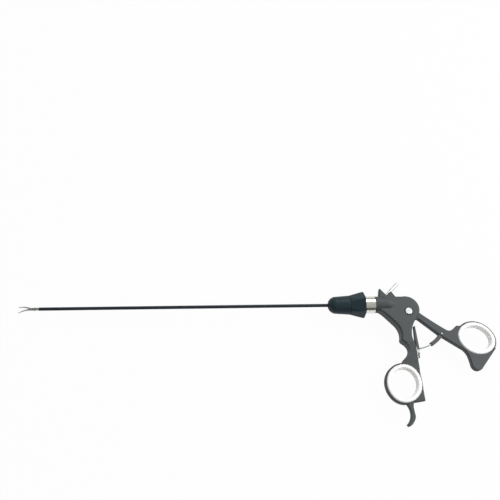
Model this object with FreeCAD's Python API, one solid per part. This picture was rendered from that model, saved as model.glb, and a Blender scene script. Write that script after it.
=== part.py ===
import FreeCAD, Part
import math
import os

# Laparoscopic grasper, 3.5 mm, monopolar, with a rotating shaft and a ring handle, in millimetres.
# The shaft axis is X. X = 0 is the front face of the knob, the jaws lie towards -X, the handle towards +X.
# The handle lies in the XY plane, its rings towards -Y, and Z is its thickness.
V = FreeCAD.Vector
X_AXIS = V(1, 0, 0)
Z_AXIS = V(0, 0, 1)
CENTRE = V(0, 0, 0)

# Clearances
snug = 0.02          # radial, between pieces that are fixed together
running = 0.05       # radial, between a turning or sliding piece and its guide
side_gap = 0.05      # beside flat pieces that swing past each other
face_gap = 0.4       # between the turning knob and the fixed collar

# Shaft
insulation_d = 3.5
insulation_wall = 0.28
tube_wall = 0.3
rod_d = 1.4
insulated_length = 308.0
boot_d = 4.6
boot_length = 6.0
tip_ring_length = 0.8

# Jaws and their fork
jaw_length = 12.0
jaw_drop = 1.25
jaw_bulge = 0.5
jaw_heel_height = 1.42
jaw_tip_height = 0.42
jaw_heel_width = 1.9
jaw_tip_width = 1.0
jaw_mating_gap = 0.08
jaw_tooth_pitch = 0.8
jaw_tooth_depth = 0.18
jaw_pin_d = 0.9
jaw_boss_d = 2.6
tang_thickness = 0.55
blade_thickness = 0.7
blade_height = 1.3
fork_window_rear = 1.6
drive_pin_d = 0.8
drive_pin_offset = 2.6
slot_wall = 0.42
fork_length = 9.2
fork_slot_length = 7.7
fork_reduction = 0.22

# Handle motion, in degrees, and the lever arm between the thumb pivot and the shaft axis
close_travel = 18.0
open_travel = 5.0
jaw_rest_angle = 14.0
pivot_x = 83.2
pivot_drop = 9.6

# Knob
nose_length = 22.6
nose_front_d = 6.0
nose_dome_length = 8.0
nose_dome_d = 18.2
nose_rear_d = 20.2
groove_width = 0.4
groove_depth = 0.8
skirt_length = 15.2
skirt_front_width = 19.4
skirt_rear_width = 24.4
skirt_sides = 6
skirt_turn = 20.0
nose_flat_bite = 0.3
skirt_bevel = 0.9
hub_d = 9.0
knob_screw_d = 2.4

# Collar and bearing
collar_length = 10.8
collar_d = 18.4
collar_groove_width = 0.5
collar_groove_depth = 0.35
spigot_d = 12.0
spigot_wall = 0.8
washer_thickness = 0.9
bush_length = 13.3
hub_overrun = 4.5
collar_screw_d = 3.0
collar_screw_dog_d = 1.6
hub_groove_depth = 0.5

# Front handle
neck_d = 17.5
neck_length = 11.5
neck_blend_length = 13.0
grip_thickness = 12.0
ring_frame_thickness = 6.0
grip_round = 2.0
head_radius = 13.5
head_offset_x = -1.3
head_offset_y = 3.7
head_slot_radius = 13.3
ring_wall = 1.5
ring_bevel = 0.8
ring_rim = 4.0
insert_thickness = 8.0
insert_bevel = 0.9
insert_rib_height = 0.8
insert_rib_width = 2.0
finger_ring_x = -16.5
finger_ring_y = -73.3
finger_ring_long = 37.6
finger_ring_short = 34.0
finger_ring_tilt = 66.0
hook_thickness = 5.0
hook_bevel = 0.6

spine_x = 1.2
spine_top_y = -37.0
spine_end_y = -90.0

# Thumb handle
thumb_thickness = 6.0
thumb_bevel = 0.8
thumb_ring_x = 65.3
thumb_ring_y = -29.1
thumb_ring_long = 37.0
thumb_ring_short = 33.4
thumb_ring_tilt = -9.0
lobe_x = 59.8
lobe_y = -56.4
lobe_radius = 5.5
thumb_hub_radius = 8.8
tongue_width = 8.8
ball_d = 4.2
ball_gap = 0.25

# Pivot screw
pivot_bush_d = 6.8
pivot_screw_d = 5.0
pivot_head_d = 7.5
pivot_head_height = 1.7
pivot_recess_d = 9.2
pivot_recess_depth = 1.1
screw_slot_width = 1.1
screw_slot_depth = 0.7

# High-frequency connector pin
connector_d = 3.2
connector_length = 20.8
connector_shank_d = 2.7
connector_shank_length = 7.4
connector_angle = 43.0
connector_base_x = 63.3
connector_base_y = 10.2
connector_stud_d = 2.0
connector_boss_thickness = 7.0
connector_guard_height = 9.8
connector_guard_foot = 8.8
connector_web_length = 7.0
connector_web_run = 5.5

# Ratchet and its release lever
ratchet_radius = 39.0
blade_depth = 0.9
ratchet_blade_width = 3.0
ratchet_tooth_pitch = 1.5
ratchet_tooth_depth = 0.35
ratchet_root_angle = -84.5
ratchet_tip_angle = -59.5
housing_height = 3.8
housing_wall = 0.75
housing_end_angle = -61.5
housing_end_solid = 6.0
lever_travel = 2.0
lever_pin_x = 3.3
lever_pin_y = -42.0
lever_pin_d = 1.4
lever_width = 4.6
bracket_ear = 0.8
bracket_base = 0.9
small_screw_d = 2.0

# Values worked out from the sizes above
insulation_r = insulation_d / 2
tube_r = insulation_r - insulation_wall - snug
tube_bore_r = tube_r - tube_wall
rod_r = rod_d / 2
fork_r = insulation_r - fork_reduction
fork_front_x = -insulated_length - tip_ring_length
jaw_pivot_x = fork_front_x - fork_length
hub_r = hub_d / 2
knob_rear_x = nose_length + groove_width + skirt_length
collar_x = knob_rear_x + face_gap
spigot_x = knob_rear_x + washer_thickness + 2 * running
neck_x = collar_x + collar_length
bush_end_x = spigot_x + bush_length
hub_end_x = bush_end_x + hub_overrun
chamber_end_x = hub_end_x + 2.0
bush_r = spigot_d / 2 - spigot_wall
pivot_y = -pivot_drop
pivot = V(pivot_x, pivot_y, 0)
pocket_end_angle = ratchet_tip_angle + close_travel + 1.0
housing_root_angle = pocket_end_angle + housing_end_solid
rod_pull = pivot_drop * math.radians(close_travel)
tang_inner_z = blade_thickness / 2 + side_gap
tang_outer_z = tang_inner_z + tang_thickness
fork_slot_z = tang_outer_z + side_gap
head_slot_z = thumb_thickness / 2 + 0.15


def cylinder_x(radius, x0, x1):
    """A round bar on the shaft axis."""
    return Part.makeCylinder(radius, x1 - x0, V(x0, 0, 0), X_AXIS)


def tube_x(outer, inner, x0, x1):
    """A round tube on the shaft axis."""
    return cylinder_x(outer, x0, x1).cut(cylinder_x(inner, x0 - 1, x1 + 1))


def cylinder_z(radius, centre, z0, z1):
    """A round bar across the handle."""
    return Part.makeCylinder(radius, z1 - z0, V(centre.x, centre.y, z0), Z_AXIS)


def revolve_x(profile):
    """A solid of revolution about the shaft axis from (x, radius) points."""
    points = [V(x, r, 0) for x, r in profile]
    wire = Part.makePolygon(points + points[:1])
    return Part.Face(wire).revolve(CENTRE, X_AXIS, 360)


def spline(points):
    """A smooth edge through the points."""
    curve = Part.BSplineCurve()
    curve.interpolate(points)
    return curve.toShape()


def line(a, b):
    """A straight edge."""
    return Part.LineSegment(a, b).toShape()


def arcs(points, heading):
    """Arcs through the points, each tangent to the one before; heading is the first direction in degrees."""
    edges = []
    for a, b in zip(points, points[1:]):
        chord = b - a
        bearing = math.degrees(math.atan2(chord.y, chord.x))
        turn = (bearing - heading + 180) % 360 - 180
        if abs(turn) < 0.3:
            edges.append(line(a, b))
        else:
            rise = chord.Length / 2 * math.tan(math.radians(turn / 2))
            side = V(chord.y, -chord.x, 0).normalize() * rise
            edges.append(Part.Arc(a, (a + b) * 0.5 + side, b).toShape())
        heading = bearing + turn
    return edges


def plate(edges, z0, z1):
    """A flat piece from a closed outline in the XY plane."""
    face = Part.Face(Part.Wire(edges))
    face.translate(V(0, 0, z0))
    return face.extrude(V(0, 0, z1 - z0))


def round_rims(solid, radius, z_level):
    """Rounds the rims of a flat piece on its top and bottom faces."""
    rims = [e for e in solid.Edges if abs(abs(e.CenterOfMass.z) - z_level) < 1e-4 and e.BoundBox.ZLength < 1e-4]
    return solid.makeFillet(radius, rims)


def bevel_rims(solid, size, z_level, x_from=-1000, y_from=-1000, y_to=1000):
    """Bevels the rims of a flat piece's top and bottom faces that lie within the limits."""
    rims = []
    for edge in solid.Edges:
        box = edge.BoundBox
        level = abs(abs(edge.CenterOfMass.z) - z_level) < 1e-4 and box.ZLength < 1e-4
        if level and box.XMin > x_from and box.YMax > y_from and box.YMin < y_to:
            rims.append(edge)
    return solid.makeChamfer(size, rims)


def from_pivot(x, y):
    """A point in the handle's plane, given from the thumb pivot."""
    return V(pivot_x + x, pivot_y + y, 0)


def polar(radius, angle):
    """A point at a radius and an angle about the thumb pivot."""
    a = math.radians(angle)
    return from_pivot(radius * math.cos(a), radius * math.sin(a))


def arc_band(inner, outer, angle0, angle1, z0, z1):
    """A flat curved bar round the thumb pivot."""
    middle = (angle0 + angle1) / 2
    edges = [
        Part.Arc(polar(inner, angle0), polar(inner, middle), polar(inner, angle1)).toShape(),
        line(polar(inner, angle1), polar(outer, angle1)),
        Part.Arc(polar(outer, angle1), polar(outer, middle), polar(outer, angle0)).toShape(),
        line(polar(outer, angle0), polar(inner, angle0)),
    ]
    return plate(edges, z0, z1)


def slot_along(points, half_width, z0, z1):
    """A rounded slot that a pin of this half width sweeps along the points."""
    left, right = [], []
    for i, p in enumerate(points):
        ahead = points[min(i + 1, len(points) - 1)]
        behind = points[max(i - 1, 0)]
        along = (ahead - behind).normalize()
        side = V(-along.y, along.x, 0) * half_width
        left.append(p + side)
        right.append(p - side)
    first_dir = (points[0] - points[1]).normalize() * half_width
    last_dir = (points[-1] - points[-2]).normalize() * half_width
    edges = [
        spline(left),
        Part.Arc(left[-1], points[-1] + last_dir, right[-1]).toShape(),
        spline(right[::-1]),
        Part.Arc(right[0], points[0] + first_dir, left[0]).toShape(),
    ]
    return plate(edges, z0, z1)


def oval(centre, long_axis, short_axis, tilt, grow, z0, z1):
    """A flat oval of four tangent arcs; grow moves its edge outwards all round."""
    a, b = long_axis / 2, short_axis / 2
    end_r = (a + b) / 2 - 1.9 * (a - b)
    reach = a - end_r
    side_r = (b * b + reach * reach - end_r * end_r) / (2 * (b - end_r))
    drop = side_r - b
    split = math.atan2(drop, reach)
    end_r += grow
    side_r += grow

    def at(radius, x, y, angle):
        return V(x + radius * math.cos(angle), y + radius * math.sin(angle), 0)

    east = [at(end_r, reach, 0, t) for t in (-split, 0, split)]
    north = [at(side_r, 0, -drop, t) for t in (split, math.pi / 2, math.pi - split)]
    west = [at(end_r, -reach, 0, t) for t in (math.pi - split, math.pi, math.pi + split)]
    south = [at(side_r, 0, drop, t) for t in (math.pi + split, -math.pi / 2, -split)]
    face = Part.Face(Part.Wire([Part.Arc(*three).toShape() for three in (east, north, west, south)]))
    face.rotate(CENTRE, Z_AXIS, tilt)
    face.translate(V(centre.x, centre.y, z0))
    return face.extrude(V(0, 0, z1 - z0))


def mirrored(points):
    """The same points with Y turned over."""
    return [V(p.x, -p.y, p.z) for p in points]


# Jaws: two curved, serrated beaks on one pin. Each carries a thin tang behind the pin with a cam slot,
# and the pull rod's cross pin runs in both slots.

def jaw_centre(t):
    """The line where the closed jaws meet, from the pin (t = 0) to the tips (t = 1)."""
    return V(-jaw_length * t, 4 * jaw_bulge * t * (1 - t) - jaw_drop * t ** 2.2, 0)


def jaw_height(t):
    """How far a jaw stands from the meeting line."""
    return jaw_heel_height + (jaw_tip_height - jaw_heel_height) * t ** 0.9


def cam_path():
    """Where the cross pin lies in the upper jaw, from fully open to closed."""
    points = []
    steps = 6
    for i in range(steps + 1):
        turn = -open_travel + (open_travel + close_travel) * i / steps
        distance = drive_pin_offset + pivot_drop * math.radians(turn)
        angle = math.radians(jaw_rest_angle * (1 - turn / close_travel))
        points.append(V(distance * math.cos(angle), distance * math.sin(angle), 0))
    return points


def make_jaw(side):
    """One jaw in its closed place at the origin; side is +1 for the upper jaw and -1 for the lower."""
    half_gap = V(0, side * jaw_mating_gap / 2, 0)
    root_t = (jaw_boss_d / 2 + 0.1) / jaw_length
    stations = [root_t + (1 - root_t) * i / 6 for i in range(7)]
    meeting = [jaw_centre(t) + half_gap for t in stations]
    back = [jaw_centre(t) + half_gap + V(0, side * jaw_height(t), 0) for t in stations]
    nose = (meeting[-1] + back[-1]) * 0.5 + V(-0.3 * jaw_tip_height, 0, 0)
    edges = [
        spline(meeting),
        Part.Arc(meeting[-1], nose, back[-1]).toShape(),
        spline(back[::-1]),
        line(back[0], V(0, back[0].y, 0)),
        line(V(0, back[0].y, 0), V(0, meeting[0].y, 0)),
        line(V(0, meeting[0].y, 0), meeting[0]),
    ]
    half = jaw_heel_width / 2
    beak = plate(edges, -half, half)
    plan = [
        V(0, 0, -half),
        V(-jaw_length * 0.25, 0, -half),
        V(-jaw_length * 1.1, 0, -jaw_tip_width / 2),
        V(-jaw_length * 1.1, 0, jaw_tip_width / 2),
        V(-jaw_length * 0.25, 0, half),
        V(0, 0, half),
    ]
    taper = Part.Face(Part.makePolygon(plan + plan[:1])).extrude(V(0, 4 * insulation_d, 0))
    taper.translate(V(0, -2 * insulation_d, 0))
    beak = beak.common(taper)
    beak = beak.common(cylinder_x(insulation_r - 0.05, -2 * jaw_length, 1))
    boss_room = jaw_boss_d / 2 + 2 * side_gap
    inner_z = side * tang_inner_z
    outer_z = side * tang_outer_z
    low, high = sorted((inner_z, -side * insulation_d))
    beak = beak.cut(cylinder_z(boss_room, CENTRE, low, high))
    beak = beak.cut(Part.makeBox(3, 2 * insulation_d, high - low, V(-boss_room * 0.6, -insulation_d, low)))
    count = int(0.8 * jaw_length / jaw_tooth_pitch)
    for i in range(count):
        t = 0.97 - i * jaw_tooth_pitch / jaw_length
        top = jaw_centre(t) + half_gap
        reach = V(0, side * jaw_tooth_depth, 0)
        foot = V(jaw_tooth_pitch * 0.45, 0, 0)
        below = V(0, -side * 0.2, 0)
        groove = [top + below, top + foot + below, top + foot, top + reach, top]
        cutter = Part.Face(Part.makePolygon(groove + groove[:1])).extrude(V(0, 0, 2 * insulation_d))
        cutter.translate(V(0, 0, -insulation_d))
        beak = beak.cut(cutter)
    z0, z1 = sorted((inner_z, outer_z))
    path = cam_path() if side > 0 else mirrored(cam_path())
    tang = slot_along([CENTRE] + path, drive_pin_d / 2 + slot_wall, z0, z1)
    tang = tang.fuse(cylinder_z(jaw_boss_d / 2, CENTRE, z0, z1))
    jaw = beak.fuse(tang).removeSplitter()
    jaw = jaw.cut(slot_along(path, drive_pin_d / 2 + running, z0 - 1, z1 + 1))
    jaw = jaw.cut(cylinder_z(jaw_pin_d / 2 + running, CENTRE, -insulation_d, insulation_d))
    jaw.rotate(CENTRE, Z_AXIS, -side * jaw_rest_angle)
    jaw.translate(V(jaw_pivot_x, 0, 0))
    return jaw


def make_jaw_fork():
    """The forked steel tip that carries the jaws, with a hollow spigot pressed into the tube."""
    body = cylinder_x(fork_r, jaw_pivot_x, fork_front_x)
    ears = cylinder_z(fork_r, V(jaw_pivot_x, 0, 0), -fork_r, fork_r)
    ears = ears.common(cylinder_x(fork_r, jaw_pivot_x - fork_r, jaw_pivot_x + fork_r))
    spigot = cylinder_x(tube_bore_r - snug, fork_front_x, fork_front_x + 5)
    slot_x = jaw_pivot_x - 2 * fork_r
    slot = Part.makeBox(2 * fork_r + fork_slot_length, 4 * fork_r, 2 * fork_slot_z, V(slot_x, -2 * fork_r, -fork_slot_z))
    fork = body.fuse([ears, spigot]).removeSplitter().cut(slot)
    fork = fork.cut(cylinder_x(rod_r + 2 * running, slot_x, fork_front_x + 6))
    fork = fork.cut(drive_window())
    return fork.cut(cylinder_z(jaw_pin_d / 2 + snug, V(jaw_pivot_x, 0, 0), -insulation_d, insulation_d))


def drive_window():
    """The long windows in the fork's ears that guide the ends of the cross pin."""
    front = jaw_pivot_x + drive_pin_offset - pivot_drop * math.radians(open_travel)
    rear = jaw_pivot_x + drive_pin_offset + rod_pull + fork_window_rear
    return slot_along([V(front, 0, 0), V((front + rear) / 2, 0, 0), V(rear, 0, 0)], drive_pin_d / 2 + running, -insulation_d, insulation_d)


def make_jaw_pin():
    """The pin that the jaws turn on, ground flush with the fork."""
    pin = cylinder_z(jaw_pin_d / 2, V(jaw_pivot_x, 0, 0), -insulation_d, insulation_d)
    return pin.common(cylinder_x(fork_r, jaw_pivot_x - 2, jaw_pivot_x + 2))


def make_drive_pin():
    """The cross pin at the end of the pull rod."""
    centre = V(jaw_pivot_x + drive_pin_offset, 0, 0)
    pin = cylinder_z(drive_pin_d / 2, centre, -insulation_d, insulation_d)
    return pin.common(cylinder_x(fork_r - running, centre.x - 2, centre.x + 2))


def make_pull_rod():
    """The long rod from the jaws to the thumb handle, flat where it passes between the tangs."""
    front = jaw_pivot_x + drive_pin_offset - drive_pin_d
    flat_end = jaw_pivot_x + drive_pin_offset + rod_pull + 2.0
    flat = Part.makeBox(flat_end - front, blade_height, blade_thickness, V(front, -blade_height / 2, -blade_thickness / 2))
    flat = flat.makeFillet(blade_height * 0.3, [e for e in flat.Edges if e.BoundBox.ZLength > 0.5 and e.CenterOfMass.x < front + 0.1])
    rod = cylinder_x(rod_r, flat_end, pivot_x + ball_d / 4)
    hole = cylinder_z(drive_pin_d / 2 + snug, V(jaw_pivot_x + drive_pin_offset, 0, 0), -rod_d, rod_d)
    return flat.fuse(rod).cut(hole)


def make_rod_ball():
    """The ball screwed on the end of the rod, which the thumb handle pulls."""
    ball = Part.makeSphere(ball_d / 2, V(pivot_x, 0, 0))
    return ball.cut(cylinder_x(rod_r + snug, pivot_x - ball_d, pivot_x + ball_d / 4))


# Shaft: steel tube, plastic insulation over it, and a bright ring where the insulation ends.

def make_outer_tube():
    """The steel tube from the fork to the hub."""
    return tube_x(tube_r, tube_bore_r, fork_front_x, bush_end_x)


def make_insulation():
    """The black sleeve, thickened to a boot inside the knob."""
    sleeve = cylinder_x(insulation_r, -insulated_length, 0)
    boot = cylinder_x(boot_d / 2, 0, boot_length)
    return sleeve.fuse(boot).cut(cylinder_x(tube_r + snug, -insulated_length - 1, boot_length + 1))


def make_tip_ring():
    """The bright ring between the insulation and the fork."""
    return tube_x(fork_r, tube_r + snug, fork_front_x, -insulated_length)


# Knob: a bullet nose with eight faint flats and a flared eight-sided skirt, both on one steel hub.

def octagon_wire(x, width):
    """An upright regular polygon round the shaft axis, given by its width across flats."""
    corner = width / 2 / math.cos(math.pi / skirt_sides)
    step = 2 * math.pi / skirt_sides
    start = math.radians(skirt_turn)
    turns = [start + i * step for i in range(skirt_sides)]
    points = [V(x, corner * math.cos(a), corner * math.sin(a)) for a in turns]
    return Part.makePolygon(points + points[:1])


def make_knob_nose():
    """The front of the knob."""
    front_r, dome_r, rear_r = nose_front_d / 2, nose_dome_d / 2, nose_rear_d / 2
    lip_r = rear_r - groove_depth
    lip_x = nose_length + groove_width
    dome = [V(0, front_r, 0), V(nose_dome_length * 0.36, dome_r * 0.79, 0), V(nose_dome_length, dome_r, 0)]
    edges = [
        line(CENTRE, dome[0]),
        Part.Arc(dome[0], dome[1], dome[2]).toShape(),
        line(dome[2], V(nose_length - 0.5, rear_r, 0)),
        line(V(nose_length - 0.5, rear_r, 0), V(nose_length, rear_r - 0.4, 0)),
        line(V(nose_length, rear_r - 0.4, 0), V(nose_length, lip_r, 0)),
        line(V(nose_length, lip_r, 0), V(lip_x, lip_r, 0)),
        line(V(lip_x, lip_r, 0), V(lip_x, 0, 0)),
        line(V(lip_x, 0, 0), CENTRE),
    ]
    body = Part.Face(Part.Wire(edges)).revolve(CENTRE, X_AXIS, 360)
    flats = Part.makeLoft([octagon_wire(0, nose_dome_d - 2 * nose_flat_bite), octagon_wire(lip_x, nose_rear_d - nose_flat_bite)], True, True)
    body = body.common(flats)
    body = body.cut(cylinder_x(boot_d / 2 + snug, -1, boot_length))
    return body.cut(cylinder_x(hub_r + snug, boot_length, lip_x + 1))


def make_knob_skirt():
    """The flared back of the knob, bevelled at its rear corners."""
    x0 = nose_length + groove_width
    body = Part.makeLoft([octagon_wire(x0, skirt_front_width), octagon_wire(knob_rear_x, skirt_rear_width)], True, True)
    rear_corner = skirt_rear_width / 2 / math.cos(math.pi / skirt_sides)
    envelope = revolve_x([
        (x0, 0),
        (x0, nose_rear_d / 2 + 0.1),
        (knob_rear_x - skirt_bevel, rear_corner),
        (knob_rear_x, rear_corner - skirt_bevel * 0.6),
        (knob_rear_x, 0),
    ])
    body = body.common(envelope)
    body = body.cut(cylinder_x(hub_r + snug, x0 - 1, knob_rear_x + 1))
    screw_x = x0 + skirt_length / 2
    return body.cut(Part.makeCylinder(knob_screw_d / 2 + snug, skirt_rear_width, V(screw_x, 0, 0), V(0, 0, -1)))


def make_knob_screw():
    """The set screw that locks the knob on its hub."""
    screw_x = nose_length + groove_width + skirt_length / 2
    tip = hub_r + running
    length = skirt_front_width / 2 - tip - 0.6
    screw = Part.makeCylinder(knob_screw_d / 2, length, V(screw_x, 0, -tip), V(0, 0, -1))
    socket = Part.makeBox(knob_screw_d, 0.5, 0.8, V(screw_x - knob_screw_d / 2, -0.25, -tip - length))
    return screw.cut(socket)


def make_hub():
    """The steel hub that carries the knob and turns in the handle's bush."""
    hub = cylinder_x(hub_r, boot_length, hub_end_x)
    groove_x = neck_x - collar_length / 2
    groove = tube_x(hub_r + 1, hub_r - hub_groove_depth, groove_x - collar_screw_dog_d / 2 - running, groove_x + collar_screw_dog_d / 2 + running)
    hub = hub.cut(groove)
    hub = hub.cut(cylinder_x(tube_r + snug, boot_length - 1, bush_end_x))
    seal_r = hub_r * 0.62
    return hub.cut(cylinder_x(seal_r, bush_end_x, hub_end_x + 1))


def make_rod_seal():
    """The silicone seal round the pull rod."""
    seal = tube_x(hub_r * 0.62 - snug, rod_r + running, bush_end_x + 0.05, bush_end_x + 1.8)
    return seal


def make_gland_nut():
    """The slotted nut that holds the seal in the hub."""
    x0 = bush_end_x + 1.85
    nut = tube_x(hub_r * 0.62 - snug, rod_r + 3 * running, x0, hub_end_x)
    slot = Part.makeBox(0.9, hub_d, 0.8, V(hub_end_x - 0.9, -hub_r, -0.4))
    return nut.cut(slot)


# Bearing at the front of the handle: bush, washer, steel collar and its screw.

def make_bearing_bush():
    """The plain bush that the hub turns in."""
    bush = tube_x(bush_r - snug, hub_r + running, spigot_x, bush_end_x)
    hole = Part.makeCylinder(collar_screw_dog_d / 2 + snug, neck_d, V(neck_x - collar_length / 2, 0, 0), V(0, 0, -1))
    return bush.cut(hole)


def make_thrust_washer():
    """The washer between the knob and the handle's spigot."""
    return tube_x(spigot_d / 2 - 0.2, hub_r + running, knob_rear_x + running, spigot_x)


def make_steel_collar():
    """The bright collar over the spigot, with one turned groove."""
    r = collar_d / 2
    x1 = neck_x
    g = x1 - collar_length * 0.16
    ring = revolve_x([
        (collar_x, spigot_d / 2 + snug),
        (collar_x, r - 0.4),
        (collar_x + 0.4, r),
        (g, r),
        (g, r - collar_groove_depth),
        (g + collar_groove_width, r - collar_groove_depth),
        (g + collar_groove_width, r),
        (x1 - 0.3, r),
        (x1, r - 0.3),
        (x1, spigot_d / 2 + snug),
    ])
    hole = Part.makeCylinder(collar_screw_d / 2 + snug, neck_d, V(neck_x - collar_length / 2, 0, 0), V(0, 0, -1))
    return ring.cut(hole)


def make_collar_screw():
    """The dog screw on the hidden side: it fixes the collar and keeps the hub from sliding out."""
    x = neck_x - collar_length / 2
    down = V(0, 0, -1)
    head_end = collar_d / 2 - 0.4
    seat = spigot_d / 2 - spigot_wall * 0.4
    dog_tip = hub_r - hub_groove_depth + running
    head = Part.makeCylinder(collar_screw_d / 2, head_end - seat, V(x, 0, -seat), down)
    dog = Part.makeCylinder(collar_screw_dog_d / 2, seat - dog_tip, V(x, 0, -dog_tip), down)
    socket = Part.makeBox(collar_screw_d, 0.6, 0.9, V(x - collar_screw_d / 2, -0.3, -head_end))
    return head.fuse(dog).removeSplitter().cut(socket)


# Front handle: neck, slotted head, grip, finger ring and hook, moulded in one.

def side_taper():
    """The handle seen from the front: thick at the grip, thinner at the ring."""
    top = pivot_y + head_radius + 20
    thick, thin = grip_thickness / 2, ring_frame_thickness / 2
    y_thick, y_thin, y_end = pivot_y - 32, pivot_y - 54, pivot_y - 130
    right = [V(0, top, thick), V(0, y_thick, thick), V(0, y_thin, thin), V(0, y_end, thin)]
    left = [V(0, p.y, -p.z) for p in right][::-1]
    outline = right + left
    return Part.Face(Part.makePolygon(outline + outline[:1])).extrude(V(200, 0, 0))


def grip_outline():
    """The outline of head, grip and spine, clockwise from the top of the neck."""
    centre = from_pivot(head_offset_x, head_offset_y)
    head = [centre + V(head_radius * math.cos(a), head_radius * math.sin(a), 0) for a in map(math.radians, (102, 35, -42))]
    top = V(neck_x + neck_length * 0.6, neck_d / 2 - 1.2, 0)
    rear = [head[2], from_pivot(4.6, -10.6), from_pivot(1.6, -16.0), from_pivot(-0.7, -24.5), from_pivot(-0.4, -30.5), from_pivot(spine_x, spine_top_y)]
    heel = from_pivot(spine_x, spine_end_y)
    heel_inner = from_pivot(-8.2, -91.4)
    inner = [from_pivot(-16, -86), from_pivot(-16, -56), from_pivot(-13.2, -50.4)]
    front = [inner[-1], from_pivot(-8.9, -46.6), from_pivot(-6.0, -41.9), from_pivot(-6.4, -37.3), from_pivot(-11.2, -32.2)]
    grip = [front[-1], from_pivot(-12.3, -28.7), from_pivot(-12.0, -20.2), from_pivot(-15.9, -12.6), from_pivot(-22.2, -5.4), from_pivot(-26.8, -0.6)]
    bottom = V(neck_x + neck_length * 0.3, -neck_d / 2 + 1.2, 0)
    return [
        line(top, head[0]),
        Part.Arc(*head).toShape(),
        *arcs(rear, 228),
        line(rear[-1], heel),
        line(heel, heel_inner),
        line(heel_inner, inner[0]),
        line(inner[0], inner[1]),
        line(inner[1], inner[2]),
        *arcs(front, 40),
        *arcs(grip, 142),
        line(grip[-1], bottom),
        line(bottom, top),
    ]


def make_hook():
    """The curved hook below the finger ring, for the little finger."""
    outer = [from_pivot(-9.6, -90.5), from_pivot(-11.1, -96.1), from_pivot(-10.7, -102.5), from_pivot(-11.6, -106.8), from_pivot(-14.6, -110.8), from_pivot(-18.6, -113.2)]
    inner = [from_pivot(-19.9, -111.4), from_pivot(-16.4, -107.6), from_pivot(-14.6, -102.2), from_pivot(-14.9, -97.6), from_pivot(-18.4, -91.5)]
    edges = [
        *arcs(outer, 240),
        line(outer[-1], inner[0]),
        *arcs(inner, 35),
        line(inner[-1], outer[0]),
    ]
    half = hook_thickness / 2
    return bevel_rims(plate(edges, -half, half), hook_bevel, half)


def make_ring_frame(ring, thickness, rounding):
    """The solid oval that becomes a ring once its hole is cut."""
    half = thickness / 2
    return bevel_rims(oval(*ring, ring_wall, -half, half), rounding, half)


def ring_hole(ring):
    """The hole for a ring insert, with the rib that holds the insert left standing."""
    rib_half = insert_rib_width / 2
    hole = oval(*ring, 0, -20, 20)
    rib = oval(*ring, 0, -rib_half, rib_half).cut(oval(*ring, -insert_rib_height, -20, 20))
    return hole.cut(rib)


def make_ring_insert(ring):
    """The white finger-ring insert, soft-edged, with a groove for the handle's rib."""
    half = insert_thickness / 2
    groove_half = insert_rib_width / 2 + snug
    insert = oval(*ring, -snug, -half, half).cut(oval(*ring, -ring_rim, -half, half))
    insert = bevel_rims(insert, insert_bevel, half)
    groove = oval(*ring, 2, -groove_half, groove_half).cut(oval(*ring, -insert_rib_height - snug, -groove_half, groove_half))
    return insert.cut(groove)


def connector_axis():
    """The direction of the connector pin, up and back."""
    a = math.radians(connector_angle)
    return V(math.cos(a), math.sin(a), 0)


def make_connector_boss():
    """The wedge in front of the connector pin and the web under it."""
    axis = connector_axis()
    side = V(-axis.y, axis.x, 0)
    base = V(connector_base_x, connector_base_y, 0)
    wedge_top = base + side * connector_guard_height + axis * 0.6
    wedge_foot = V(base.x - connector_guard_foot, neck_d / 2 - 2.5, 0)
    under = base - side * connector_d * 0.3
    web_top = under + axis * connector_web_length
    web_foot = V(web_top.x + connector_web_run, pivot_y + head_offset_y + head_radius * 0.85, 0)
    outline = [wedge_foot, wedge_top, base + side * connector_d * 0.3, under, web_top, web_foot, V(web_foot.x - 4, 2, 0), V(wedge_foot.x, 3, 0)]
    edges = [line(a, b) for a, b in zip(outline, outline[1:] + outline[:1])]
    half = connector_boss_thickness / 2
    boss = plate(edges, -half, half)
    return round_rims(boss, 1.0, half)


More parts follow.
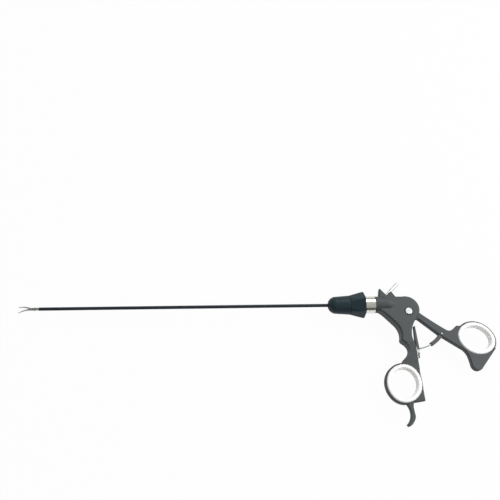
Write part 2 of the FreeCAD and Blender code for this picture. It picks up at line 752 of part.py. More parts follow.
def make_front_handle():
    """The fixed handle."""
    ring_centre = from_pivot(finger_ring_x, finger_ring_y)
    ring = (ring_centre, finger_ring_long, finger_ring_short, finger_ring_tilt)
    half = grip_thickness / 2
    spine_half = ring_frame_thickness / 2
    grip = round_rims(grip_band(half, -60, 40), grip_round, half).common(side_taper())
    spine = bevel_rims(grip_band(spine_half, -110, -44), ring_bevel, spine_half)
    neck_r = neck_d / 2
    blend_x = neck_x + neck_length
    neck_edges = [
        line(V(neck_x, 0, 0), V(neck_x, neck_r - 0.6, 0)),
        line(V(neck_x, neck_r - 0.6, 0), V(neck_x + 0.6, neck_r, 0)),
        line(V(neck_x + 0.6, neck_r, 0), V(blend_x, neck_r, 0)),
        *arcs([V(blend_x, neck_r, 0), V(blend_x + neck_blend_length * 0.5, neck_r * 0.88, 0), V(blend_x + neck_blend_length, half * 0.8, 0)], 0),
        line(V(blend_x + neck_blend_length, half * 0.8, 0), V(blend_x + neck_blend_length, 0, 0)),
        line(V(blend_x + neck_blend_length, 0, 0), V(neck_x, 0, 0)),
    ]
    neck = Part.Face(Part.Wire(neck_edges)).revolve(CENTRE, X_AXIS, 360)
    spigot = cylinder_x(spigot_d / 2, spigot_x, neck_x + 1)
    frame = make_ring_frame(ring, ring_frame_thickness, ring_bevel)
    front_side = Part.makeBox(200, 300, 40, V(pivot_x + spine_x - 200, pivot_y - 250, -20))
    frame = frame.common(front_side)
    handle = grip.fuse([spine, neck, spigot, frame, make_hook(), make_connector_boss()])
    handle = handle.cut(ring_hole(ring))
    handle = handle.cut(cylinder_x(bush_r, spigot_x - 1, bush_end_x))
    handle = handle.cut(cylinder_x(hub_r + 0.5, bush_end_x - 0.1, chamber_end_x))
    handle = handle.cut(cylinder_x(rod_r + 0.5, chamber_end_x - 1, pivot_x))
    handle = handle.cut(cylinder_z(head_slot_radius, pivot, -head_slot_z, head_slot_z))
    handle = handle.cut(cylinder_z(pivot_screw_d / 2 + snug, pivot, -2 * half, 2 * half))
    recess = cylinder_z(pivot_recess_d / 2, pivot, half - pivot_recess_depth, 2 * half)
    handle = handle.cut(recess).cut(recess.mirror(CENTRE, Z_AXIS))
    axis = connector_axis()
    base = V(connector_base_x, connector_base_y, 0)
    handle = handle.cut(Part.makeCylinder(connector_shank_d / 2 + snug, connector_length, base - axis * 2.5, axis))
    handle = handle.cut(Part.makeCylinder(connector_stud_d / 2 + snug, 14, base - axis * 12, axis))
    x = neck_x - collar_length / 2
    seat = spigot_d / 2 - spigot_wall * 0.4
    handle = handle.cut(Part.makeCylinder(collar_screw_d / 2 + snug, neck_d, V(x, 0, -seat), V(0, 0, -1)))
    handle = handle.cut(Part.makeCylinder(collar_screw_dog_d / 2 + snug, neck_d, V(x, 0, -hub_r), V(0, 0, -1)))
    for y in bracket_screw_heights():
        handle = handle.cut(Part.makeCylinder(small_screw_d / 2 + snug, 6, V(bracket_x() - 5.5, y, 0), X_AXIS))
    return handle.removeSplitter()


def grip_band(half, low, high):
    """The part of the grip's outline between two heights above the pivot."""
    band = Part.makeBox(200, high - low, 2 * half, V(0, pivot_y + low, -half))
    return plate(grip_outline(), -half, half).common(band)


# Thumb handle: hub and tongue inside the head, arm, ring and lobe.

def thumb_outline():
    """The outline of arm and lobe, clockwise from the hub's upper side."""
    hub_top = polar(thumb_hub_radius, 62)
    hub_low = polar(thumb_hub_radius, -95)
    upper = [from_pivot(9.6, 2.2), from_pivot(13.6, -2.2), from_pivot(24.5, -10.9), from_pivot(36.5, -19.7), from_pivot(42.0, -19.9), from_pivot(48.0, -15.4)]
    inner = [from_pivot(60, -16), from_pivot(80, -36.5)]
    ring_foot = from_pivot(82.6, -39.9)
    lobe_centre = from_pivot(lobe_x, lobe_y)
    lobe = [lobe_centre + V(lobe_radius * math.cos(a), lobe_radius * math.sin(a), 0) for a in map(math.radians, (-42, -100, -178))]
    lower = [lobe[-1], from_pivot(53.4, -47.6), from_pivot(48.9, -40.0)]
    return [
        Part.Arc(hub_low, polar(thumb_hub_radius, 180), hub_top).toShape(),
        line(hub_top, upper[0]),
        line(upper[0], upper[1]),
        line(upper[1], upper[2]),
        *arcs(upper[2:], -38.6),
        line(upper[-1], inner[0]),
        line(inner[0], inner[1]),
        line(inner[1], ring_foot),
        line(ring_foot, lobe[0]),
        Part.Arc(*lobe).toShape(),
        *arcs(lower, 92),
        line(lower[-1], from_pivot(28.3, -25.1)),
        line(from_pivot(28.3, -25.1), from_pivot(8.9, -7.2)),
        line(from_pivot(8.9, -7.2), hub_low),
    ]


def make_tongue():
    """The tongue above the hub, which pulls the rod's ball."""
    half = thumb_thickness / 2
    top = pivot_drop + ball_d / 2 + 0.8
    block = Part.makeBox(tongue_width, top, thumb_thickness, V(pivot_x - tongue_width / 2, pivot_y, -half))
    return block.common(cylinder_z(head_slot_radius - 0.5, pivot, -half, half))


def tongue_slots():
    """The open slot that the ball sits in and the slit that the rod passes through."""
    ball_half = ball_d / 2 + ball_gap
    ball_floor = -ball_d / 2 - 0.4
    rod_half = rod_r + 0.3
    rod_floor = -rod_r - 1.6
    ball_slot = Part.makeBox(2 * ball_half, 20, thumb_thickness + 2, V(pivot_x - ball_half, ball_floor, -thumb_thickness / 2 - 1))
    rod_slit = Part.makeBox(tongue_width, 20, 2 * rod_half, V(pivot_x - tongue_width, rod_floor, -rod_half))
    return ball_slot.fuse(rod_slit)


def make_thumb_handle():
    """The moving handle."""
    ring_centre = from_pivot(thumb_ring_x, thumb_ring_y)
    ring = (ring_centre, thumb_ring_long, thumb_ring_short, thumb_ring_tilt)
    half = thumb_thickness / 2
    arm = bevel_rims(plate(thumb_outline(), -half, half), thumb_bevel, half, pivot_x + thumb_hub_radius)
    frame = make_ring_frame(ring, thumb_thickness, ring_bevel)
    handle = arm.fuse([frame, make_tongue()])
    handle = handle.cut(ring_hole(ring))
    handle = handle.cut(cylinder_z(pivot_bush_d / 2 + running, pivot, -20, 20))
    handle = handle.cut(tongue_slots())
    handle = handle.cut(housing_space(snug))
    handle = handle.cut(housing_screw_hole())
    return handle.removeSplitter()


def make_pivot_bush():
    """The steel bush between the cheeks of the head, which the thumb handle turns on."""
    bush = cylinder_z(pivot_bush_d / 2, pivot, -head_slot_z, head_slot_z)
    return bush.cut(cylinder_z(pivot_screw_d / 2 + snug, pivot, -20, 20))


def make_pivot_screw():
    """The slotted pivot screw, its head in the recess on the upper side."""
    half = grip_thickness / 2
    seat = half - pivot_recess_depth
    shank = cylinder_z(pivot_screw_d / 2, pivot, -seat, seat)
    head = cylinder_z(pivot_head_d / 2, pivot, seat, seat + pivot_head_height)
    head = head.makeChamfer(0.4, [e for e in head.Edges if abs(e.CenterOfMass.z - seat - pivot_head_height) < 1e-4])
    slot = Part.makeBox(2 * pivot_head_d, screw_slot_width, 2, V(-pivot_head_d, -screw_slot_width / 2, 0))
    slot.rotate(CENTRE, Z_AXIS, 35)
    slot.translate(V(pivot_x, pivot_y, seat + pivot_head_height - screw_slot_depth))
    return shank.fuse(head.cut(slot)).removeSplitter()


def make_pivot_nut():
    """The round nut on the lower side, with two spanner holes."""
    seat = grip_thickness / 2 - pivot_recess_depth
    nut = cylinder_z(pivot_head_d / 2, pivot, -seat - pivot_head_height, -seat)
    for sign in (-1, 1):
        place = pivot + V(sign * pivot_head_d * 0.3, 0, 0)
        nut = nut.cut(cylinder_z(0.5, place, -seat - pivot_head_height - 1, -seat - pivot_head_height * 0.4))
    return nut


def make_connector_pin():
    """The bright plug pin with a thinner stud that reaches the turning hub."""
    axis = connector_axis()
    base = V(connector_base_x, connector_base_y, 0)
    bury = 2.4
    shoulder = base + axis * connector_shank_length
    pin = Part.makeCylinder(connector_d / 2, connector_length - connector_shank_length, shoulder, axis)
    tip = [e for e in pin.Edges if (e.CenterOfMass - base - axis * connector_length).Length < 0.1]
    pin = pin.makeChamfer(0.5, tip)
    pin = pin.fuse(Part.makeCylinder(connector_shank_d / 2, connector_shank_length + bury, base - axis * bury, axis))
    stud_r = connector_stud_d / 2
    end_y = hub_r + running + stud_r * math.cos(math.radians(connector_angle))
    stud_length = (connector_base_y - end_y) / axis.y - bury
    stud = Part.makeCylinder(stud_r, stud_length, base - axis * (bury + stud_length), axis)
    return pin.fuse(stud).removeSplitter()


# Ratchet: a thin toothed blade on the release lever enters a housing on the thumb handle's arm.

def bracket_x():
    """The face of the grip that the lever bracket is screwed to."""
    return pivot_x + spine_x + snug


def bracket_screw_heights():
    """The two screws of the lever bracket."""
    return [pivot_y + lever_pin_y - 5.2, pivot_y + lever_pin_y + 2.6]


def housing_space(gap):
    """The outline of the ratchet housing, grown by a gap."""
    low = ratchet_radius - housing_height / 2 - gap
    high = ratchet_radius + housing_height / 2 + gap
    half = thumb_thickness / 2 - housing_wall + gap
    return arc_band(low, high, housing_end_angle, housing_root_angle, -half, half)


def housing_screw_hole():
    """The hole for the screw that holds the housing in the arm."""
    return cylinder_z(small_screw_d / 2 + snug, polar(ratchet_radius, housing_root_angle - housing_end_solid / 2), -20, 20)


def make_ratchet_housing():
    """The dark guide under the thumb arm, open at the end where the blade enters."""
    body = housing_space(0)
    slot_half = ratchet_blade_width / 2 + 0.12
    inner = ratchet_radius - housing_height / 2 + housing_wall
    outer = ratchet_radius + housing_height / 2 - housing_wall
    slot = arc_band(inner, outer, housing_end_angle - 1, pocket_end_angle, -slot_half, slot_half)
    return body.cut(slot)


def make_ratchet_blade():
    """The thin steel blade with saw teeth on its outer side."""
    half = ratchet_blade_width / 2
    outer = ratchet_radius + blade_depth / 2
    blade = arc_band(outer - blade_depth, outer, ratchet_root_angle, ratchet_tip_angle, -half, half)
    step = math.degrees(ratchet_tooth_pitch / ratchet_radius)
    count = int((ratchet_tip_angle - ratchet_root_angle - 6) / step)
    for i in range(count):
        angle = ratchet_tip_angle - 0.8 - i * step
        notch = [polar(outer + 0.2, angle), polar(outer + 0.2, angle - step), polar(outer - ratchet_tooth_depth, angle)]
        cutter = Part.Face(Part.makePolygon(notch + notch[:1])).extrude(V(0, 0, 4 * half))
        cutter.translate(V(0, 0, -2 * half))
        blade = blade.cut(cutter)
    return blade


def make_release_lever():
    """The dark rocking lever along the back of the grip, with the blade's root let into it."""
    pin = from_pivot(lever_pin_x, lever_pin_y)
    half = lever_width / 2
    outline = [
        from_pivot(3.7, -15.2),
        from_pivot(4.7, -15.2),
        from_pivot(5.0, -40.0),
        from_pivot(5.2, -42.8),
        from_pivot(3.9, -45.0),
        from_pivot(3.9, -48.2),
        from_pivot(2.6, -49.0),
        from_pivot(2.4, -45.0),
        from_pivot(2.4, -38.0),
        from_pivot(2.5, -29.0),
    ]
    edges = [line(a, b) for a, b in zip(outline, outline[1:] + outline[:1])]
    lever = plate(edges, -half, half)
    root = arc_band(ratchet_radius - blade_depth / 2 - snug, ratchet_radius + blade_depth / 2 + snug, ratchet_root_angle - 0.1, ratchet_root_angle + 10, -ratchet_blade_width / 2 - snug, ratchet_blade_width / 2 + snug)
    lever = lever.cut(root)
    return lever.cut(cylinder_z(lever_pin_d / 2 + running, pin, -20, 20))


def make_lever_bracket():
    """The bright folded bracket screwed to the grip, with an ear each side of the lever."""
    y0 = pivot_y + lever_pin_y - 7
    y1 = pivot_y + lever_pin_y + 4.4
    half = lever_width / 2 + side_gap + bracket_ear
    x0 = bracket_x()
    base = Part.makeBox(bracket_base, y1 - y0, 2 * half, V(x0, y0, -half))
    pin = from_pivot(lever_pin_x, lever_pin_y)
    ear_reach = pin.x + lever_pin_d + 0.2 - x0
    ears = Part.makeBox(ear_reach, 2 * lever_pin_d + 0.6, 2 * half, V(x0, pin.y - lever_pin_d - 0.3, -half))
    gap = Part.makeBox(ear_reach, 30, lever_width + 2 * side_gap, V(x0 + bracket_base, pin.y - 15, -lever_width / 2 - side_gap))
    bracket = base.fuse(ears).removeSplitter().cut(gap)
    bracket = bracket.cut(cylinder_z(lever_pin_d / 2 + snug, pin, -20, 20))
    for y in bracket_screw_heights():
        bracket = bracket.cut(Part.makeCylinder(small_screw_d / 2 + snug, 10, V(x0 - 5, y, 0), X_AXIS))
    return bracket


def make_lever_pin():
    """The pin through the bracket's ears."""
    half = lever_width / 2 + side_gap + bracket_ear
    return cylinder_z(lever_pin_d / 2, from_pivot(lever_pin_x, lever_pin_y), -half, half)


def make_bracket_screws():
    """The two small screws that hold the bracket."""
    screws = [Part.makeCylinder(small_screw_d / 2, 5 + bracket_base, V(bracket_x() - 5, y, 0), X_AXIS) for y in bracket_screw_heights()]
    return Part.Compound(screws)


def build():
    """Every node of the grasper by name."""
    finger_ring = (from_pivot(finger_ring_x, finger_ring_y), finger_ring_long, finger_ring_short, finger_ring_tilt)
    thumb_ring = (from_pivot(thumb_ring_x, thumb_ring_y), thumb_ring_long, thumb_ring_short, thumb_ring_tilt)
    return {
        "upper_jaw": make_jaw(1),
        "lower_jaw": make_jaw(-1),
        "jaw_fork": make_jaw_fork(),
        "jaw_pin": make_jaw_pin(),
        "drive_pin": make_drive_pin(),
        "pull_rod": make_pull_rod(),
        "rod_ball": make_rod_ball(),
        "outer_tube": make_outer_tube(),
        "shaft_insulation": make_insulation(),
        "tip_ring": make_tip_ring(),
        "knob_nose": make_knob_nose(),
        "knob_skirt": make_knob_skirt(),
        "knob_set_screw": make_knob_screw(),
        "shaft_hub": make_hub(),
        "rod_seal": make_rod_seal(),
        "gland_nut": make_gland_nut(),
        "bearing_bush": make_bearing_bush(),
        "thrust_washer": make_thrust_washer(),
        "steel_collar": make_steel_collar(),
        "collar_screw": make_collar_screw(),
        "front_handle": make_front_handle(),
        "finger_ring_insert": make_ring_insert(finger_ring),
        "thumb_handle": make_thumb_handle(),
        "thumb_ring_insert": make_ring_insert(thumb_ring),
        "pivot_bush": make_pivot_bush(),
        "pivot_screw": make_pivot_screw(),
        "pivot_nut": make_pivot_nut(),
        "connector_pin": make_connector_pin(),
        "ratchet_housing": make_ratchet_housing(),
        "ratchet_blade": make_ratchet_blade(),
        "release_lever": make_release_lever(),
        "lever_bracket": make_lever_bracket(),
        "lever_pin": make_lever_pin(),
        "bracket_screws": make_bracket_screws(),
    }


os.makedirs("parts", exist_ok=True)
for name, shape in build().items():
    shape.exportStep("parts/" + name + ".step")
    print(name, len(shape.Solids), shape.isValid(), round(shape.Volume, 2))
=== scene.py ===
import math

import bmesh
import bpy
from mathutils import Matrix, Vector


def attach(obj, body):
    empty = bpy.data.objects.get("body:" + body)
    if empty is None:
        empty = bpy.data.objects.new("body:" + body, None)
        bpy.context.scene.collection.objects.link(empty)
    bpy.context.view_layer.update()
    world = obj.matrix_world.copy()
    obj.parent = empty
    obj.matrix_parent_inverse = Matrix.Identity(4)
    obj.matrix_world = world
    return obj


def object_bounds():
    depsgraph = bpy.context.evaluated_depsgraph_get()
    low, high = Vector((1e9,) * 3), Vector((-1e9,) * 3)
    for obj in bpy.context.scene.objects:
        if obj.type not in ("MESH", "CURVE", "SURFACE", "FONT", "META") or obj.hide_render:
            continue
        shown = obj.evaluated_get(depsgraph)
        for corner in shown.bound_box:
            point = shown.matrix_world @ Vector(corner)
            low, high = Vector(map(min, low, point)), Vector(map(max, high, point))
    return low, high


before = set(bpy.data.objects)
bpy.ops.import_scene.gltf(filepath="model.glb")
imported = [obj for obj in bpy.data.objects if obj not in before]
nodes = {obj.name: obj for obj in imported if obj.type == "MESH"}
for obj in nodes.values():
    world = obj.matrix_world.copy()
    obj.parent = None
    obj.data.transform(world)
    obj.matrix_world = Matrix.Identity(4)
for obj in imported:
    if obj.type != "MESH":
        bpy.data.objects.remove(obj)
cad_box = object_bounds()
scene = bpy.context.scene


# The camera stands in front of the rings and looks down on the instrument at 62 degrees, which is
# the photograph's angle. Places are in metres from the front of the turning knob.
def add_object(name, data):
    """Adds an object to the scene."""
    made = bpy.data.objects.new(name, data)
    scene.collection.objects.link(made)
    return made


camera_data = bpy.data.cameras.new("camera")
camera_data.sensor_width = 36
camera_data.lens = 32.54
camera_data.clip_start = 0.02
camera_data.clip_end = 20
camera = add_object("camera", camera_data)
camera_place = (-0.0858, -0.1735, 0.4547)
camera_right = Vector((0.9999, -0.0137, 0))
camera_up = Vector((0.0121, 0.8828, 0.4695))
camera_turn = Matrix((camera_right, camera_up, camera_right.cross(camera_up))).transposed()
camera.matrix_world = Matrix.Translation(camera_place) @ camera_turn.to_4x4()
scene.camera = camera
scene.view_settings.view_transform = "Standard"


# The white table that the instrument lies on, a smooth sheet of white board. The camera and
# reflections see it plain white, and a small share of matte white keeps the instrument's shadow.
class Reading:
    """A value inside a finish. Arithmetic on it adds the Math nodes that work it out."""

    def __init__(self, finish, socket):
        self.finish = finish
        self.socket = socket

    def math(self, operation, *values):
        return self.finish.node("Math", {"operation": operation}, values)

    def __add__(self, other):
        return self.math("ADD", self, other)

    def __radd__(self, other):
        return self.math("ADD", other, self)

    def __sub__(self, other):
        return self.math("SUBTRACT", self, other)

    def __rsub__(self, other):
        return self.math("SUBTRACT", other, self)

    def __mul__(self, other):
        return self.math("MULTIPLY", self, other)

    def __rmul__(self, other):
        return self.math("MULTIPLY", other, self)

    def __abs__(self):
        return self.math("ABSOLUTE", self)

    def step(self, low, high):
        """0 below low and 1 above high, smooth between; low may be the larger."""
        limits = {"Value": self, "From Min": low, "From Max": high}
        return self.finish.node("MapRange", {"interpolation_type": "SMOOTHSTEP"}, limits)


class Finish:
    """A surface finish: a material, with its patterns placed in the object's own metres."""

    def __init__(self, name, holder=None):
        self.holder = holder or bpy.data.materials.new(name)
        self.holder.use_nodes = True
        self.tree = self.holder.node_tree
        self.tree.nodes.clear()

    def node(self, kind, settings, inputs, out=0):
        """Adds a shader node; inputs go by identifier in a dict, or in order in a list."""
        made = self.tree.nodes.new("ShaderNode" + kind)
        for key, value in settings.items():
            setattr(made, key, value)
        sockets = {socket.identifier: socket for socket in made.inputs}
        pairs = inputs.items() if isinstance(inputs, dict) else zip(sockets, inputs)
        for key, value in pairs:
            if isinstance(value, Reading):
                self.tree.links.new(value.socket, sockets[key])
            else:
                sockets[key].default_value = value
        return Reading(self, made.outputs[out]) if made.outputs else made

    def place(self, axis):
        """The X, Y or Z coordinate on the object, in metres."""
        split = {"Vector": self.node("TexCoord", {}, {}, "Object")}
        return self.node("SeparateXYZ", {}, split, axis)

    def noise(self, scale, detail, stretch=(1, 1, 1)):
        """Cloudy noise from 0 to 1, with scale in cells for each metre."""
        spread = {"Vector": self.node("TexCoord", {}, {}, "Object"), "Scale": stretch}
        mapped = self.node("Mapping", {}, spread)
        return self.node("TexNoise", {}, {"Vector": mapped, "Scale": scale, "Detail": detail})

    def blend(self, amount, low, high):
        """The colour low where amount is 0 and high where it is 1."""
        low, high = ((*colour, 1) if isinstance(colour, tuple) else colour for colour in (low, high))
        inputs = {"Factor_Float": amount, "A_Color": low, "B_Color": high}
        return self.node("Mix", {"data_type": "RGBA"}, inputs, 2)

    def edges(self, radius):
        """0 on a flat face and 1 at an edge, which fades out over the radius."""
        soft = self.node("Bevel", {"samples": 4}, {"Radius": radius})
        hard = self.node("NewGeometry", {}, {}, "Normal")
        alike = self.node("VectorMath", {"operation": "DOT_PRODUCT"}, [soft, hard], "Value")
        return (1 - alike).step(0.002, 0.12)

    def recess_shade(self, reach):
        """Mask for painted shade: 0 on an open face and 1 in slots and corners that are narrower than the
        reach.
        """
        inputs = {"Distance": reach}
        openness = self.node("AmbientOcclusion", {"samples": 16}, inputs, "AO")
        return openness.step(0.68, 0.22)

    def surface(self, colour, roughness, height, depth, radius=0.0, **fixed):
        """The finished surface: height is bumped by depth, and edges look as round as radius."""
        bump = {"Height": height, "Distance": depth, "Strength": 1.0}
        if radius:
            bump["Normal"] = self.node("Bevel", {"samples": 4}, {"Radius": radius})
        normal = self.node("Bump", {}, bump)
        inputs = {"Base Color": colour, "Roughness": roughness, "Normal": normal}
        inputs |= {key.replace("_", " "): value for key, value in fixed.items()}
        self.node("OutputMaterial", {}, {"Surface": self.node("BsdfPrincipled", {}, inputs)})


table_z = cad_box[0].z
table_half = 3.0
table_corners = [(-table_half, -table_half), (table_half, -table_half)]
table_corners += [(table_half, table_half), (-table_half, table_half)]
table_mesh = bpy.data.meshes.new("table")
table_mesh.from_pydata([(x, y, table_z) for x, y in table_corners], [], [(0, 1, 2, 3)])
table = add_object("table", table_mesh)
table_white = Finish("table_white")
seen = table_white.node("LightPath", {}, {}, "Is Camera Ray")
mirrored = table_white.node("LightPath", {}, {}, "Is Glossy Ray")
passed = table_white.node("LightPath", {}, {}, "Is Transmission Ray")
plain_share = 0.97 * (seen + mirrored + passed)
plain = table_white.node("Emission", {}, {"Color": (1, 1, 1, 1), "Strength": 1.0})
matte = table_white.node("BsdfDiffuse", {}, {"Color": (0.66, 0.66, 0.66, 1)})
table_surface = table_white.node("MixShader", {}, [plain_share, matte, plain])
table_white.node("OutputMaterial", {}, {"Surface": table_surface})
table_mesh.materials.append(table_white.holder)

# The light: a pale room that is dark along its front wall, a soft lamp near the rings at the right,
# and a wide one behind that draws the bright line along the knob and the collar.
world = bpy.data.worlds.new("room")
scene.world = world
room = Finish("room", world)
facing = {"Vector": room.node("TexCoord", {}, {}, "Generated")}
ahead = room.node("SeparateXYZ", {}, facing, "Y")
above = room.node("SeparateXYZ", {}, facing, "Z")
front_wall = ahead.step(-0.55, -0.85) * above.step(0.6, 0.3)
room_colour = room.blend(front_wall, (0.46, 0.46, 0.43), (0.04, 0.04, 0.025))
seen = room.node("LightPath", {}, {}, "Is Camera Ray")
seen_colour = room.blend(seen, room_colour, (1, 1, 1))
background = room.node("Background", {}, {"Color": seen_colour, "Strength": 1.0})
room.node("OutputWorld", {}, {"Surface": background})


def add_lamp(name, place, target, width, height, power, colour):
    """A soft lamp that faces the target."""
    light = bpy.data.lights.new(name, "AREA")
    light.shape = "RECTANGLE"
    light.size = width
    light.size_y = height
    light.energy = power
    light.color = colour
    place = Vector(place)
    aim = (Vector(target) - place).to_track_quat("-Z", "Y")
    add_object(name, light).matrix_world = Matrix.Translation(place) @ aim.to_matrix().to_4x4()


add_lamp(
    "ring_lamp",
    place=(0.80, -0.04, 0.62),
    target=(0.17, -0.06, 0),
    width=0.7,
    height=0.7,
    power=5.6,
    colour=(1.0, 0.985, 0.97),
)
add_lamp(
    "back_lamp",
    place=(0.49, 1.04, 1.28),
    target=(0.03, 0, 0),
    width=1.5,
    height=0.8,
    power=15.0,
    colour=(0.95, 0.98, 1.0),
)


# The two handles, moulded in black glass-filled plastic with a fine eroded texture. The mould's
# parting line runs round them at mid-thickness, and the edges are rubbed a little paler.
def dress(finish, *names):
    """Gives a finish to nodes of the frame."""
    for name in names:
        for slot in nodes[name].material_slots:
            slot.material = finish.holder


handle_black = Finish("handle_plastic")
grain = handle_black.noise(2600, 3)
cloud = handle_black.noise(70, 2)
rubbed = handle_black.edges(0.0006) * (0.35 + 0.65 * handle_black.noise(260, 2))
parting_line = abs(handle_black.place("Z")).step(0.00016, 0.00006)
handle_colour = handle_black.blend(cloud, (0.036, 0.043, 0.048), (0.052, 0.060, 0.066))
handle_colour = handle_black.blend(rubbed * 0.5, handle_colour, (0.15, 0.15, 0.15))
handle_rough = 0.50 + 0.14 * cloud - 0.10 * rubbed
handle_relief = grain + 1.5 * parting_line
handle_black.surface(handle_colour, handle_rough, handle_relief, depth=0.00004, radius=0.0004)
dress(handle_black, "front_handle", "thumb_handle")

# The turning knob in two mouldings of the same plastic, smoother and bluer than the handles
# because it is polished by hands: a dome in front and a six-sided skirt behind it.
knob_black = Finish("knob_plastic")
grain = knob_black.noise(3400, 2)
cloud = knob_black.noise(110, 3)
rubbed = knob_black.edges(0.0007) * (0.3 + 0.7 * knob_black.noise(300, 2))
knob_colour = knob_black.blend(cloud, (0.012, 0.025, 0.034), (0.019, 0.036, 0.046))
knob_colour = knob_black.blend(rubbed * 0.45, knob_colour, (0.07, 0.09, 0.11))
knob_rough = 0.38 + 0.16 * cloud - 0.10 * rubbed
knob_gloss = {"Specular_IOR_Level": 0.2}
knob_black.surface(knob_colour, knob_rough, grain, depth=0.00002, radius=0.0005, **knob_gloss)
dress(knob_black, "knob_nose", "knob_skirt")

# The insulation on the shaft, an extruded black sleeve shrunk over the steel tube. It has faint
# lines drawn along it and a satin shine.
sleeve_black = Finish("sleeve_insulation")
drawn = sleeve_black.noise(900, 2, stretch=(0.02, 1, 1))
patch = sleeve_black.noise(55, 2)
sleeve_colour = sleeve_black.blend(patch, (0.008, 0.013, 0.022), (0.014, 0.021, 0.033))
sleeve_rough = 0.34 + 0.16 * patch
sleeve_black.surface(sleeve_colour, sleeve_rough, drawn, depth=0.00001, Specular_IOR_Level=0.34)
dress(sleeve_black, "shaft_insulation")

# The finger-ring inserts, soft white plastic snapped over a rib in each ring. They are wiped
# clean and a touch greyer where fingers rub, and painted shade greys them low on the inside of the ring.
ring_white = Finish("ring_insert_white")
grain = ring_white.noise(500, 2)
worn = ring_white.noise(90, 2).step(0.4, 0.8)
white_colour = ring_white.blend(worn, (0.94, 0.945, 0.95), (0.89, 0.895, 0.905))
# Painted shade: the white turns grey inside the ring's hollow, where the ambient occlusion is low.
white_colour = ring_white.blend(ring_white.recess_shade(0.016), white_colour, (0.62, 0.63, 0.65))
ring_white.surface(white_colour, 0.40 + 0.15 * worn, grain, depth=0.000005)
dress(ring_white, "finger_ring_insert", "thumb_ring_insert")

# The collar between knob and neck, turned from stainless steel and polished. The tool has left
# fine rings round it.
collar_steel = Finish("collar_steel")
turned = collar_steel.noise(9000, 2, stretch=(1, 0.004, 0.004))
smear = collar_steel.noise(200, 3)
collar_colour = collar_steel.blend(smear, (0.80, 0.80, 0.76), (0.72, 0.72, 0.67))
collar_steel.surface(collar_colour, 0.13 + 0.14 * smear, turned, depth=0.000006, Metallic=1.0)
dress(collar_steel, "steel_collar")

# The polished parts that show: the pivot screw, the connector pin, the release lever's bracket with
# its screws, and the ring at the end of the shaft's insulation. They are scuffed by use.
bright_steel = Finish("bright_steel")
smear = bright_steel.noise(500, 3)
scuff = bright_steel.noise(2500, 3, stretch=(1, 0.15, 1)).step(0.55, 0.72)
bright_colour = bright_steel.blend(smear, (0.52, 0.535, 0.545), (0.40, 0.41, 0.42))
bright_rough = 0.26 + 0.14 * smear + 0.12 * scuff
bright_steel.surface(bright_colour, bright_rough, scuff, depth=0.000006, radius=0.0002, Metallic=1.0)
dress(bright_steel, "pivot_screw", "connector_pin", "tip_ring", "lever_bracket", "bracket_screws")

# The working steel: jaws, fork, rods, tubes and small pins, ground and then satin blasted. Its narrow
# slots and corners are darkened with painted shade.
satin_steel = Finish("satin_steel")
blasted = satin_steel.noise(6000, 2)
shade = satin_steel.noise(260, 3)
satin_colour = satin_steel.blend(shade, (0.56, 0.56, 0.56), (0.38, 0.385, 0.39))
# Painted shade: slots and corners narrower than 1.3 mm are darkened nearly to black.
satin_colour = satin_steel.blend(satin_steel.recess_shade(0.0013), satin_colour, (0.07, 0.07, 0.075))
satin_rough = 0.20 + 0.14 * shade
satin_steel.surface(satin_colour, satin_rough, blasted, depth=0.000008, radius=0.0001, Metallic=1.0)
dress(satin_steel, "upper_jaw", "lower_jaw", "jaw_fork", "jaw_pin", "drive_pin")
dress(satin_steel, "pull_rod", "rod_ball", "outer_tube", "shaft_hub", "gland_nut")
dress(satin_steel, "pivot_bush", "pivot_nut", "lever_pin", "collar_screw", "knob_set_screw")

# The ratchet's blade, stamped from spring steel and blued a little by tempering. It is drawn
# lengthwise, so its scratches run along it.
spring_steel = Finish("spring_steel")
drawn = spring_steel.noise(5000, 2, stretch=(0.05, 1, 1))
shade = spring_steel.noise(300, 2)
spring_colour = spring_steel.blend(shade, (0.26, 0.27, 0.29), (0.18, 0.19, 0.21))
spring_steel.surface(spring_colour, 0.34 + 0.14 * shade, drawn, depth=0.000006, Metallic=1.0)
dress(spring_steel, "ratchet_blade")

# The ratchet's release lever and the housing of its blade, moulded in dark plastic with a matte
# skin. The lever turns on its pin, and the housing sits in a pocket of the thumb handle.
ratchet_dark = Finish("ratchet_dark")
grain = ratchet_dark.noise(4000, 2)
shade = ratchet_dark.noise(220, 2)
rubbed = ratchet_dark.edges(0.0004)
ratchet_colour = ratchet_dark.blend(shade, (0.045, 0.046, 0.048), (0.065, 0.066, 0.068))
ratchet_colour = ratchet_dark.blend(rubbed * 0.5, ratchet_colour, (0.16, 0.16, 0.16))
ratchet_dark.surface(ratchet_colour, 0.48 + 0.12 * shade, grain, depth=0.00002, radius=0.0003)
dress(ratchet_dark, "release_lever", "ratchet_housing")

# The finger ribs across the upper end of the release lever, where it is pressed towards the grip.
# They are bars with rounded ends, half sunk in its rear face and moulded in one piece with it.
rib_sizes = {
    "First Rib": ("NodeSocketVector", (0.08795, -0.0258, 0)),
    "Rib Spacing": ("NodeSocketVector", (0.0000135, -0.0012, 0)),
    "Ribs": ("NodeSocketInt", 8),
    "Rib Radius": ("NodeSocketFloat", 0.00034),
    "Rib Length": ("NodeSocketFloat", 0.0042),
    "Finish": ("NodeSocketMaterial", ratchet_dark.holder),
}
rib_tree = bpy.data.node_groups.new("lever_ribs", "GeometryNodeTree")
rib_sockets = {}
for name, (kind, value) in rib_sizes.items():
    made = rib_tree.interface.new_socket(name, in_out="INPUT", socket_type=kind)
    rib_sockets[name] = made.identifier
rib_tree.interface.new_socket("Lever Ribs", in_out="OUTPUT", socket_type="NodeSocketGeometry")


def rib_node(kind, settings, inputs):
    """Adds a node to the tree of the ribs, with its inputs by name, and gives its outputs."""
    made = rib_tree.nodes.new(kind)
    for key, value in settings.items():
        setattr(made, key, value)
    for key, value in inputs.items():
        if isinstance(value, bpy.types.NodeSocket):
            rib_tree.links.new(value, made.inputs[key])
        else:
            made.inputs[key].default_value = value
    return made.outputs


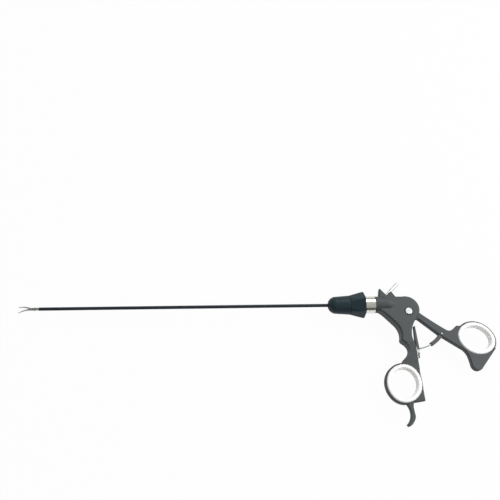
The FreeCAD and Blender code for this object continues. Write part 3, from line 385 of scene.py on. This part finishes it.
def rib_math(operation, *values):
    """Adds a Math node to the tree of the ribs."""
    return rib_node("ShaderNodeMath", {"operation": operation}, dict(enumerate(values)))[0]


size = rib_node("NodeGroupInput", {}, {})
bar_end = rib_node("ShaderNodeCombineXYZ", {}, {"Z": rib_math("MULTIPLY", size["Rib Length"], 0.5)})[0]
bar_start = rib_node("ShaderNodeCombineXYZ", {}, {"Z": rib_math("MULTIPLY", size["Rib Length"], -0.5)})[0]
bar_line = rib_node("GeometryNodeCurvePrimitiveLine", {}, {"Start": bar_start, "End": bar_end})[0]
bar_line = rib_node("GeometryNodeResampleCurve", {}, {"Curve": bar_line, "Count": 13})[0]
along = rib_node("GeometryNodeSplineParameter", {}, {})["Factor"]
from_middle = rib_math("ABSOLUTE", rib_math("SUBTRACT", along, 0.5))
rounding = {"Value": from_middle, "From Min": 0.4, "From Max": 0.5, "To Min": 1.0, "To Max": 0.35}
taper = rib_node("ShaderNodeMapRange", {"interpolation_type": "SMOOTHSTEP"}, rounding)[0]
ring = {"Resolution": 16, "Radius": size["Rib Radius"]}
ring = rib_node("GeometryNodeCurvePrimitiveCircle", {}, ring)[0]
bar = {"Curve": bar_line, "Profile Curve": ring, "Scale": taper, "Fill Caps": True}
bar = rib_node("GeometryNodeCurveToMesh", {}, bar)[0]
row = {"Count": size["Ribs"], "Start Location": size["First Rib"], "Offset": size["Rib Spacing"]}
row = rib_node("GeometryNodeMeshLine", {}, row)[0]
ribs = rib_node("GeometryNodeInstanceOnPoints", {}, {"Points": row, "Instance": bar})[0]
ribs = rib_node("GeometryNodeRealizeInstances", {}, {"Geometry": ribs})[0]
ribs = rib_node("GeometryNodeSetMaterial", {}, {"Geometry": ribs, "Material": size["Finish"]})[0]
rib_node("NodeGroupOutput", {}, {"Lever Ribs": ribs})

lever_ribs = add_object("lever_ribs", bpy.data.meshes.new("lever_ribs"))
growth = lever_ribs.modifiers.new("ribs", "NODES")
growth.node_group = rib_tree
for name, (kind, value) in rib_sizes.items():
    growth[rib_sockets[name]] = value
bpy.context.view_layer.update()
grown = lever_ribs.evaluated_get(bpy.context.evaluated_depsgraph_get())
grown_mesh = bpy.data.meshes.new_from_object(grown)
lever_ribs.modifiers.clear()
lever_ribs.data = grown_mesh
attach(lever_ribs, "ratchet_release")

# The rivet that pins the ratchet's housing into the arm of the thumb handle, turned from steel. Its
# two ends are pressed to low domes in the mouths of their hole.
rivet_place = Vector((0.11414, -0.03334, 0))
rivet_steps = 28
merge_distance = 0.000002
rivet_half = [(0, 0.00308), (0.00030, 0.00306), (0.00058, 0.00299), (0.00080, 0.00288)]
rivet_half += [(0.00093, 0.00272), (0.00098, 0.00252), (0.00098, 0.00130)]
rivet_outline = rivet_half + [(radius, -height) for radius, height in reversed(rivet_half)]
rivet_shape = bmesh.new()
corners = []
for radius, height in rivet_outline:
    corners.append(rivet_shape.verts.new(rivet_place + Vector((radius, 0, height))))
for corner, next_corner in zip(corners, corners[1:]):
    rivet_shape.edges.new((corner, next_corner))
profile = rivet_shape.verts[:] + rivet_shape.edges[:]
turn = {"cent": rivet_place, "axis": (0, 0, 1), "angle": 2 * math.pi, "steps": rivet_steps}
bmesh.ops.spin(rivet_shape, geom=profile, use_merge=False, **turn)
bmesh.ops.remove_doubles(rivet_shape, verts=rivet_shape.verts[:], dist=merge_distance)
bmesh.ops.recalc_face_normals(rivet_shape, faces=rivet_shape.faces[:])
for face in rivet_shape.faces:
    face.smooth = True
rivet_mesh = bpy.data.meshes.new("housing_rivet")
rivet_shape.to_mesh(rivet_mesh)
rivet_shape.free()
rivet_mesh.materials.append(satin_steel.holder)
housing_rivet = add_object("housing_rivet", rivet_mesh)
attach(housing_rivet, "thumb_lever")

# The bearing bush and thrust washer that the shaft turns on, cut from natural slide-bearing
# plastic, a warm off-white with a waxy skin.
bearing_cream = Finish("bearing_cream")
turned = bearing_cream.noise(5000, 2, stretch=(1, 0.01, 0.01))
shade = bearing_cream.noise(300, 2)
bearing_colour = bearing_cream.blend(shade, (0.70, 0.64, 0.52), (0.62, 0.56, 0.45))
bearing_cream.surface(bearing_colour, 0.36 + 0.12 * shade, turned, depth=0.00001)
dress(bearing_cream, "bearing_bush", "thrust_washer")

# The rod's seal, a lip ring of blue-grey silicone rubber with a dull surface. It is pressed into
# the hub round the rod by the gland nut.
seal_rubber = Finish("seal_rubber")
grain = seal_rubber.noise(5000, 2)
shade = seal_rubber.noise(400, 2)
seal_colour = seal_rubber.blend(shade, (0.30, 0.36, 0.42), (0.24, 0.29, 0.34))
seal_rubber.surface(seal_colour, 0.62 + 0.10 * shade, grain, depth=0.00001)
dress(seal_rubber, "rod_seal")
